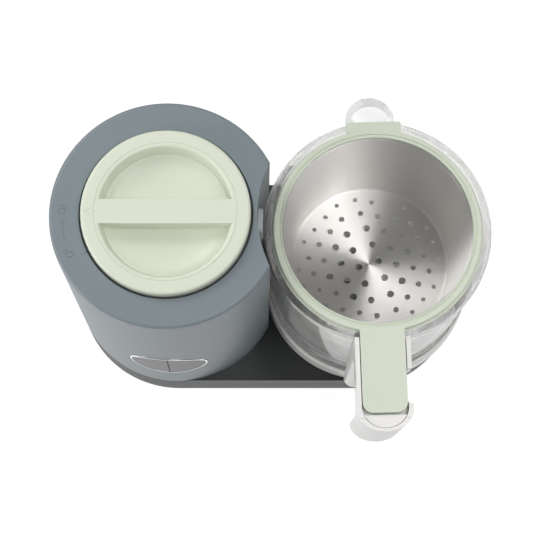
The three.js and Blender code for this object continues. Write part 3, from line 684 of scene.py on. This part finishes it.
class FOODMAKER_OT_base(PieceOperator, bpy.types.Operator):
    """Draws the base's long plan, raises its wall and lays the dark deck on it"""

    bl_idname = "foodmaker.base"
    bl_label = "Base"

    def execute(self, context):
        wall, tower_hole, drive_hole, collar_seat = 2.6, 56, 12.4, 61.4
        low, top = foot_of("base_shell") / MM, top_of("base_shell") / MM
        shell = slab("base_wall", stadium(0), low, top, on_tower())
        soften(shell, 1.0, 4, angle=60)
        boolean(shell, slab("tool", stadium(wall), low - 3, top - wall, on_tower()))
        boolean(shell, cylinder(tower_hole, low, top + 5, TOWER, 96))
        boolean(shell, cylinder(drive_hole, low, top + 5, BOWL, 64))
        gland = middle_of("cord_gland")
        back = Matrix.Translation((gland.x, TOWER.y, gland.z)) @ Matrix.Rotation(-math.pi / 2, 4, "X")
        boolean(shell, slab("tool", arc(0, 0, 6.3, 0, 348, 29), 60, 80, back))
        smooth(shell)
        # The housing's slot with a darker copy of its finish: painted shade on the base's wall.
        finish_piece(shell, "machine", "housing", MATERIALS["base"], "base_shell")

        low, top = foot_of("base_deck") / MM, top_of("base_deck") / MM
        deck = slab("base_deck_plate", stadium(0), low, top, on_tower())
        tower = cylinder(self.s.tower_radius / MM + 0.3, 0, 60, TOWER, 216)
        boolean(tower, cylinder(self.s.scallop_radius / MM - 0.3, -2, 62, BOWL, 216))
        boolean(deck, tower)
        boolean(deck, cylinder(drive_hole, 20, 60, BOWL, 64))
        boolean(deck, cylinder(collar_seat, top - 1, 60, BOWL, 144))
        soften(deck, 0.7, 3, angle=50)
        tip, heel = (65.6, -59.6), [(61.2, -67.8), (62.2, -64.4)]
        drop = [tip, *bend((67.2, -64), (67.6, -69), (63.8, -68.9), 6), *heel]
        boolean(deck, slab("tool", drop, top - 0.2, top + 2, on_tower()))
        smooth(deck)
        finish_piece(deck, "machine", "deck", MATERIALS["deck"], "base_deck")
        return {"FINISHED"}


class FOODMAKER_OT_bowl(PieceOperator, bpy.types.Operator):
    """Turns the glass bowl with its ribs and rim bead, and draws out its pouring spout"""

    bl_idname = "foodmaker.bowl"
    bl_label = "Glass Bowl"

    def execute(self, context):
        rim, top = self.s.rim_radius / MM, top_of("glass_bowl") / MM
        ledge = 177
        outer = [(0, 53.3), (62, 53.3), *arc(62, 63.3, 10, -90, -8, 6)[1:]]
        for rib in (67, 74, 81):
            outer += [(72.4, rib - 1.6), (72.9, rib - 1.1), (73.3, rib)]
            outer += [(72.9, rib + 1.1), (72.45, rib + 1.6)]
        outer += [(73.6, 172), (74, 175), (rim - 0.3, 176.8), (rim, 177.8), (rim, 179.8)]
        outer += [*arc(rim - 1.7, top - 1.7, 1.7, 10, 90, 4), (0, top)]
        bowl = turned("glass_bowl_body", outer, BOWL, 216)
        spout = self.cone(75.8, self.s.spout_radius / MM, 3, 138, top)
        boolean(bowl, spout, "UNION")
        inner = [(0, 57.5), (59, 57.5), *arc(59.5, 65.6, 8.1, -88, -5, 6), (69, ledge), (70.7, ledge + 0.3)]
        inner += [(70.7, 195), (0, 195)]
        room = turned("tool", inner, BOWL, 216)
        boolean(room, self.cone(72.3, self.s.throat_radius / MM, 1, 142, top + 0.6), "UNION")
        boolean(bowl, room)
        boolean(bowl, cylinder(10, 40, 70, BOWL, 64))
        soften(bowl, 0.7, 3, angle=38)
        smooth(bowl, 40)
        settle(bowl, turn_about(BOWL, BOWL_TURN))
        finish_piece(bowl, "bowl", "glass", MATERIALS["glass"], "glass_bowl")
        return {"FINISHED"}

    def cone(self, out, wide, narrow, low, high, lean=5):
        """The spout's leaning half-cone: wide at the rim, gone at its foot."""
        deselect()
        place = BOWL + Vector((0, out - lean, (low + high) / 2)) * MM
        bpy.ops.mesh.primitive_cone_add(
            vertices=72, radius1=narrow * MM, radius2=wide * MM, depth=(high - low) * MM, location=place
        )
        cone = bpy.context.object
        for vertex in cone.data.vertices:
            vertex.select = vertex.co.z > 0
        for polygon in cone.data.polygons:
            polygon.select = all(cone.data.vertices[i].co.z > 0 for i in polygon.vertices)
        bpy.ops.object.mode_set(mode="EDIT")
        bpy.ops.mesh.select_mode(type="VERT")
        bpy.ops.transform.translate(value=(0, lean * MM, 0))
        bpy.ops.object.mode_set(mode="OBJECT")
        settle(cone)
        return settle(cone, turn_about(BOWL, SPOUT_TURN))


class FOODMAKER_OT_collar(PieceOperator, bpy.types.Operator):
    """Turns the collar that holds the glass bowl's foot"""

    bl_idname = "foodmaker.collar"
    bl_label = "Bowl Collar"

    def execute(self, context):
        r, low, top = self.s.collar_radius / MM, foot_of("bowl_collar") / MM, top_of("bowl_collar") / MM
        line = [
            (20, 50), (62, 50), (62, low), (64.4, low), (64.4, 50), (72, 50), (72, low), (73.7, low),
            (r, low + 0.8), (r, top - 1.6), *arc(r - 1.5, top - 1.5, 1.5, 15, 90, 4),
            (72.2, top), (71.9, 54.2), (66, 52.9), (20, 52.9),
        ]
        collar = turned("bowl_collar_ring", line, BOWL, 216)
        for turn in (0, 120, 240):
            lug = arc(0, 0, 58.5, -13, 13, 8) + arc(0, 0, 62.6, 13, -13, 8)
            placed = Matrix.Translation(BOWL) @ Matrix.Rotation(math.radians(30 + turn), 4, "Z")
            boolean(collar, slab("tool", lug, 36.8, 40.6, placed), "UNION")
        soften(collar, 0.3, 2, angle=50)
        smooth(collar)
        finish_piece(collar, "bowl", "handle", MATERIALS["handle"], "bowl_collar")
        return {"FINISHED"}


class FOODMAKER_OT_handle(PieceOperator, bpy.types.Operator):
    """Shapes the hook-shaped handle, its channel and thumb notch, and the tray that lies in it"""

    bl_idname = "foodmaker.handle"
    bl_label = "Bowl Handle"

    def plan(self, side=0, nose=0, steps=32):
        """The handle from above: straight sides and an oval end."""
        half, depth = self.s.handle_half / MM - side, self.s.handle_nose / MM
        end = self.s.handle_end / MM - depth - nose
        return [(-half, -60), *arc(0, -end, half, 180, 360, steps, flat=depth / half), (half, -60)]

    def side(self):
        """The arm and grip from the side, as (distance from the axis, height)."""
        top, low = top_of("handle_shell") / MM, 91
        return [
            (70, top), (140, top), *bend((132, low + 3), (131, low), (127, low), 5),
            *bend((118, low), (115, low), (115.4, low + 5), 5),
            *bend((119.4, 155), (120.2, 167), (108, 167)), *bend((92, 167), (83.6, 167), (83.6, 158)),
            (70, 158),
        ]

    def execute(self, context):
        top, foot = top_of("handle_shell") / MM, foot_of("handle_shell") / MM
        half, wall, nose_wall, gap = self.s.handle_half / MM, 3, 2.2, 0.3
        place = Matrix.Translation(BOWL)
        shell = slab("handle_shell_moulding", self.side(), -40, 40, place @ SIDE_VIEW)
        plan = slab("tool", self.plan(), 60, 200, place)
        self.lean(plan, 60, 200, top, 0.069)
        boolean(shell, plan, "INTERSECT")
        leg = slab("tool", rounded(-half, half, -83.6, -50, 7), foot, top - 4, place)
        self.lean(leg, foot, top - 4, top, 0.025)
        boolean(shell, leg, "UNION")
        boolean(shell, slab("tool", rounded(-30, 30, -140, -125.5, 1, 2), top - 0.9, 200, place))
        soften(shell, 1.6, 4, angle=42)
        collar, rim = self.s.collar_radius / MM + 0.4, self.s.rim_radius / MM + 0.4
        glass_line = [
            (0, 20), (collar, 20), (collar, 55.6), (74.2, 56.4), (74.2, 174.6), (rim, 176.8), (rim, 182),
            (74.4, 182), (74.4, 200), (0, 200),
        ]
        boolean(shell, turned("tool", glass_line, BOWL, 216))
        boolean(shell, slab("tool", self.plan(wall, nose_wall), 176, 200, place))
        notch = rounded(half - wall - 0.1, 40, -116.5, -93.4, 2)
        boolean(shell, slab("tool", notch, 150, 200, place))
        soften(shell, 0.4, 2, angle=42)
        smooth(shell)
        settle(shell, turn_about(BOWL, BOWL_TURN))
        finish_piece(shell, "bowl", "handle", MATERIALS["handle"], "handle_shell")

        tray_plan = self.plan(wall + gap, nose_wall + gap)
        tray = slab("handle_tray", tray_plan, 176.3, 178.8, place)
        end = slab("tool", tray_plan, 178, top - 1.3, place)
        boolean(end, slab("tool", rounded(-30, 30, -140, -123.6, 1, 2), 170, 190, place), "INTERSECT")
        boolean(tray, end, "UNION")
        boolean(tray, cylinder(77, 170, 190, BOWL))
        soften(tray, 0.5, 3, angle=42)
        smooth(tray)
        settle(tray, turn_about(BOWL, BOWL_TURN))
        finish_piece(tray, "bowl", "handle", MATERIALS["handle"], "handle_cover")
        return {"FINISHED"}

    def lean(self, obj, low, high, level, share):
        """Leans a form towards the bowl below a level, by moving its two ends."""
        for end, shift in ((low, (level - low) * share), (high, (level - high) * share)):
            pick(obj)
            for vertex in obj.data.vertices:
                vertex.select = abs(vertex.co.z - end * MM) < 1e-5
            for polygon in obj.data.polygons:
                polygon.select = all(obj.data.vertices[i].select for i in polygon.vertices)
            for edge in obj.data.edges:
                edge.select = all(obj.data.vertices[i].select for i in edge.vertices)
            bpy.ops.object.mode_set(mode="EDIT")
            bpy.ops.mesh.select_mode(type="VERT")
            bpy.ops.transform.translate(value=(0, shift * MM, 0))
            bpy.ops.object.mode_set(mode="OBJECT")


class FOODMAKER_OT_basket(PieceOperator, bpy.types.Operator):
    """Turns the steel basket and punches its floor, then turns its rim with the tab and tongue"""

    bl_idname = "foodmaker.basket"
    bl_label = "Steam Basket"

    def hole_centres(self, field=55, row_angle=-12.5, drawn_in=0.062, slide=(0.66, 0.316)):
        """Two halves of one triangular lattice, slid along their seam and drawn in at the edge."""
        pitch = self.s.hole_pitch / MM
        row = Vector((math.cos(math.radians(row_angle)), math.sin(math.radians(row_angle)))) * pitch
        climb_angle = math.radians(row_angle + 120)
        climb = Vector((math.cos(climb_angle), math.sin(climb_angle))) * pitch
        centres = []
        for side in (-1, 1):
            start = row * side * slide[0] + climb * side * slide[1]
            for i in range(6):
                for j in range(-6, 7):
                    at = start + row * side * i + climb * j
                    if at.length < field:
                        centres.append(at * (1 - drawn_in * (at.length / 50) ** 2))
        return centres

    def punch(self):
        """All the punches as one tool: wider in the middle of the floor than outside."""
        punches = []
        for at in self.hole_centres():
            radius = 2.5 if at.length < 30 else 2.05 if at.length < 44 else 1.6
            place = BOWL + Vector((at.x, at.y, 88)) * MM
            deselect()
            bpy.ops.mesh.primitive_cylinder_add(
                vertices=24, radius=radius * MM, depth=14 * MM, location=place
            )
            punches.append(bpy.context.object)
        pick(*punches)
        bpy.ops.object.join()
        return settle(bpy.context.object)

    def execute(self, context):
        r, floor, wall = self.s.basket_radius / MM, self.s.basket_floor / MM, 0.8
        z, bend_radius, rise = 87, 2.8, 2.4
        flat = floor - bend_radius
        dome = [(flat * share, z + rise * (1 - share**2)) for share in (0, 0.25, 0.5, 0.75)]
        line = [
            *dome, *arc(flat, z + bend_radius, bend_radius, -90, 0, 6),
            (r, 181.4), (r + 0.6, 182.2), (r + 1.4, 182.4), (67.6, 182.4), (67.6, 181.6),
            (r + 1.6, 181.5), (r + wall, 180.8), *arc(flat, z + bend_radius, bend_radius + wall, 0, -90, 6),
            *[(x, y - wall) for x, y in reversed(dome)],
        ]
        cup = turned("basket_cup_drawn", line, BOWL, 216)
        boolean(cup, self.punch())
        smooth(cup, 30)
        settle(cup, turn_about(BOWL, BOWL_TURN))
        finish_piece(cup, "basket", "steel", MATERIALS["steel"], "basket_cup")

        top, half = 184.8, self.s.tongue_half / MM
        ring = turned(
            "basket_rim_moulding",
            [
                (63.15, 182.7), (63.15, top - 0.5), (63.35, top - 0.12), (63.7, top), (64.2, top - 0.1),
                (64.5, top - 0.7), (64.8, top - 0.95), (65.3, top - 0.95), (65.6, top - 0.7),
                (65.9, top - 0.1), (66.3, top), (68, top), (68.6, top - 0.15), (69.05, top - 0.6),
                (69.2, top - 1.2), (69.2, 180.4), (70.3, 180.1), (70.3, 177.4), (64.2, 177.3),
                (64.2, 181.3), (68, 181.3), (68, 182.7),
            ],
            BOWL,
            216,
        )
        front = rounded(-half, half, -122.4, -50, 7)
        tongue = slab("tool", front, 179.2, 185.4, Matrix.Translation(BOWL))
        boolean(tongue, cylinder(78.6, 160, 182, BOWL))
        boolean(tongue, cylinder(73.6, 184.9, 190, BOWL))
        boolean(tongue, cylinder(68.2, 160, 190, BOWL))
        boolean(ring, tongue, "UNION")
        tab = slab("tool", rounded(-18.5, 18.5, 66, 74.2, 2), 182, top, Matrix.Translation(BOWL))
        boolean(tab, cylinder(68.2, 160, 190, BOWL))
        boolean(ring, tab, "UNION")
        soften(ring, 0.5, 3, angle=42)
        smooth(ring)
        settle(ring, turn_about(BOWL, BOWL_TURN))
        finish_piece(ring, "basket", "ring", MATERIALS["ring"], "basket_rim")
        return {"FINISHED"}


class FOODMAKER_OT_outlet(PieceOperator, bpy.types.Operator):
    """Shapes the soft steam outlet on the tower's scalloped wall"""

    bl_idname = "foodmaker.outlet"
    bl_label = "Steam Outlet"

    def execute(self, context):
        low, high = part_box("steam_outlet")
        mouth, half = middle_of("steam_pipe").z / MM, half_depth("steam_outlet") / MM
        placed = on_tower() @ BOWL_VIEW
        front = (high.x - TOWER.x) / MM
        outline = rounded(-half, half, low.z / MM, high.z / MM, 4)
        block = slab("steam_outlet_block", outline, 54, front, placed)
        soften(block, 0.8, 3, angle=50)
        boolean(block, cylinder(self.s.scallop_radius / MM - 0.3, 170, 220, BOWL, 216), "INTERSECT")
        boolean(block, slab("tool", arc(0, mouth, 3.2, 0, 345, 23), 50, 70, placed))
        smooth(block)
        finish_piece(block, "machine", "silicone", MATERIALS["silicone"], "steam_outlet")
        return {"FINISHED"}


class FOODMAKER_OT_inner_pieces(PieceOperator, bpy.types.Operator):
    """Gives each piece that stays as the frame has it the finish of its material"""

    bl_idname = "foodmaker.inner_pieces"
    bl_label = "Inner Pieces"

    def execute(self, context):
        slots = {part["node"]: part["material_slot"] for part in frame["record"]["subparts"]}
        for name, node in frame["nodes"].items():
            node.data.materials.clear()
            node.data.materials.append(MATERIALS[slots[name]])
        return {"FINISHED"}


class FOODMAKER_OT_materials(PieceOperator, bpy.types.Operator):
    """Makes the finishes that the pieces share"""

    bl_idname = "foodmaker.materials"
    bl_label = "Materials"

    def execute(self, context):
        MATERIALS.update(make_materials(context.scene.food_maker_colours))
        return {"FINISHED"}


class FOODMAKER_OT_stage(PieceOperator, bpy.types.Operator):
    """Sets the pale floor, the soft lights and the camera"""

    bl_idname = "foodmaker.stage"
    bl_label = "Stage"

    def execute(self, context):
        self.camera(context)
        self.white_floor()
        self.bounce_floor()
        self.light("high_right", (0.5, -0.2, 1.55), (0.07, 0, 0.1), (0.8, 0.8), 9)
        self.light("back_left", (-0.75, 0.85, 1.3), (0.03, 0, 0.1), (0.7, 0.7), 8.5)
        self.light("low_left", (-1.5, -0.5, 0.5), (-0.07, 0, 0.12), (0.7, 0.5), 10)
        self.surround(context)
        context.scene.view_settings.view_transform = "Standard"
        return {"FINISHED"}

    def surround(self, context):
        """An even white surround, a little brighter low down than overhead."""
        world = bpy.data.worlds.new("studio")
        world.use_nodes = True
        tree = world.node_tree
        tree.nodes.clear()
        direction = add_node(tree, "TexCoord").outputs["Generated"]
        height = add_node(tree, "SeparateXYZ", {"Vector": direction}).outputs["Z"]
        fall = {"Value": height, "From Min": 0.0, "From Max": 0.9, "To Min": 0.45, "To Max": 0.3}
        glow = add_node(tree, "MapRange", fall)
        sky = add_node(tree, "Background", {"Color": colour("#f6f6f6"), "Strength": glow.outputs["Result"]})
        add_node(tree, "OutputWorld", {"Surface": sky.outputs[0]})
        context.scene.world = world

    def camera(self, context):
        deselect()
        bpy.ops.object.camera_add(location=TOWER + CAMERA_FROM_TOWER, rotation=(CAMERA_TILT, 0, 0))
        camera = context.object
        camera.data.lens = CAMERA_LENS
        camera.data.shift_x = CAMERA_SHIFT
        context.scene.camera = camera

    def plane(self, name, level, paper):
        deselect()
        bpy.ops.mesh.primitive_plane_add(size=12, location=(0, 0, level))
        plane = bpy.context.object
        plane.name = name
        plane.data.materials.append(paper)
        return plane

    def white_floor(self):
        """The paper that the camera sees: lit from below, so that only a trace of shadow stays on it."""
        paper, tree = new_material("paper_lit")
        place = add_node(tree, "TexCoord").outputs["Object"]
        fibre = add_node(tree, "TexNoise", {"Vector": place, "Scale": per_mm(2), "Detail": 2.0})
        bump = add_node(tree, "Bump", {"Height": fibre.outputs["Fac"], "Strength": 0.02})
        shader = add_node(
            tree,
            "BsdfPrincipled",
            {
                "Base Color": colour("#8a8a8a"),
                "Roughness": 0.9,
                "Normal": bump.outputs["Normal"],
                "Emission Color": colour("#ffffff"),
                "Emission Strength": 0.88,
            },
        )
        close_material(tree, shader)
        floor = self.plane("floor", 0, paper)
        floor.visible_diffuse = False

    def bounce_floor(self):
        """The table under the paper, which the machine's walls and metal pick up instead of it."""
        table, tree = new_material("table_grey")
        shader = add_node(tree, "BsdfPrincipled", {"Base Color": colour("#a8a8a8"), "Roughness": 0.8})
        close_material(tree, shader)
        floor = self.plane("table", -0.002, table)
        floor.visible_camera = False
        floor.visible_transmission = False
        floor.visible_glossy = False

    def light(self, name, place, aim, size, power):
        deselect()
        direction = Vector(aim) - Vector(place)
        turn = direction.to_track_quat("-Z", "Y").to_euler()
        bpy.ops.object.light_add(type="AREA", location=place, rotation=turn)
        lamp = bpy.context.object
        lamp.name = name
        lamp.data.shape = "RECTANGLE"
        lamp.data.size, lamp.data.size_y = size
        lamp.data.energy = power


PIECES = (
    FOODMAKER_OT_materials,
    FOODMAKER_OT_inner_pieces,
    FOODMAKER_OT_base,
    FOODMAKER_OT_tower,
    FOODMAKER_OT_controls,
    FOODMAKER_OT_outlet,
    FOODMAKER_OT_cap,
    FOODMAKER_OT_bowl,
    FOODMAKER_OT_collar,
    FOODMAKER_OT_handle,
    FOODMAKER_OT_basket,
    FOODMAKER_OT_stage,
)


class FOODMAKER_PT_panel(bpy.types.Panel):
    """The pieces of the food maker, with their sizes and colours"""

    bl_idname = "FOODMAKER_PT_panel"
    bl_label = "Food Maker"
    bl_space_type = "VIEW_3D"
    bl_region_type = "UI"
    bl_category = "Food Maker"

    def draw(self, context):
        for piece in PIECES:
            self.layout.operator(piece.bl_idname)
        for group in (context.scene.food_maker_sizes, context.scene.food_maker_colours):
            box = self.layout.box()
            for key in group.__annotations__:
                box.prop(group, key)


CLASSES = (FoodMakerSizes, FoodMakerColours, *PIECES, FOODMAKER_PT_panel)


def register():
    for each in CLASSES:
        bpy.utils.register_class(each)
    bpy.types.Scene.food_maker_sizes = bpy.props.PointerProperty(type=FoodMakerSizes)
    bpy.types.Scene.food_maker_colours = bpy.props.PointerProperty(type=FoodMakerColours)


def unregister():
    del bpy.types.Scene.food_maker_colours
    del bpy.types.Scene.food_maker_sizes
    for each in reversed(CLASSES):
        bpy.utils.unregister_class(each)


def main():
    register()
    for piece in PIECES:
        group, name = piece.bl_idname.split(".")
        getattr(getattr(bpy.ops, group), name)()


if __name__ == "__main__":
    main()
